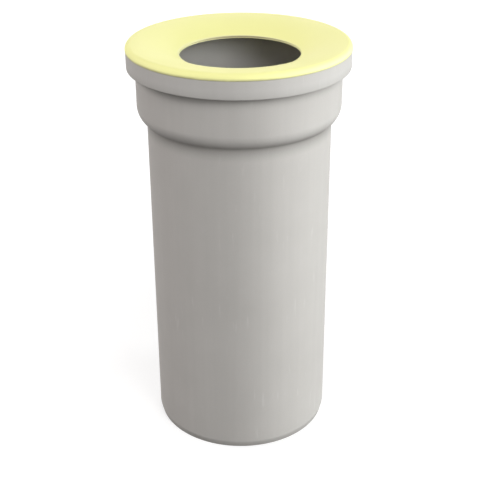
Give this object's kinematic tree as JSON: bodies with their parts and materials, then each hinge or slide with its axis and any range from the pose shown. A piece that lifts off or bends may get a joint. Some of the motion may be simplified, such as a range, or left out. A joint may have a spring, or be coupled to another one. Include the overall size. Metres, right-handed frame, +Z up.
{
  "type": "toilet connector pipe",
  "caption": "Straight grey toilet connector pipe with a chamfered spigot, a shouldered socket, a thick rim and a dished soft yellow seal.",
  "frame": {"origin": "centre of the foot, the flat end of the spigot, on the pipe's axis", "axes": "+Z up along the pipe's axis from the spigot's foot to the seal; the part is round, so X and Y are free"},
  "size_m": [0.1318, 0.1318, 0.25],
  "materials": {
    "body": "satin grey moulded polypropylene",
    "seal": "soft cream-yellow elastomer"
  },
  "bodies": {
    "root": {"pipe_body": "body", "seal": "seal"}
  },
  "joints": []
}
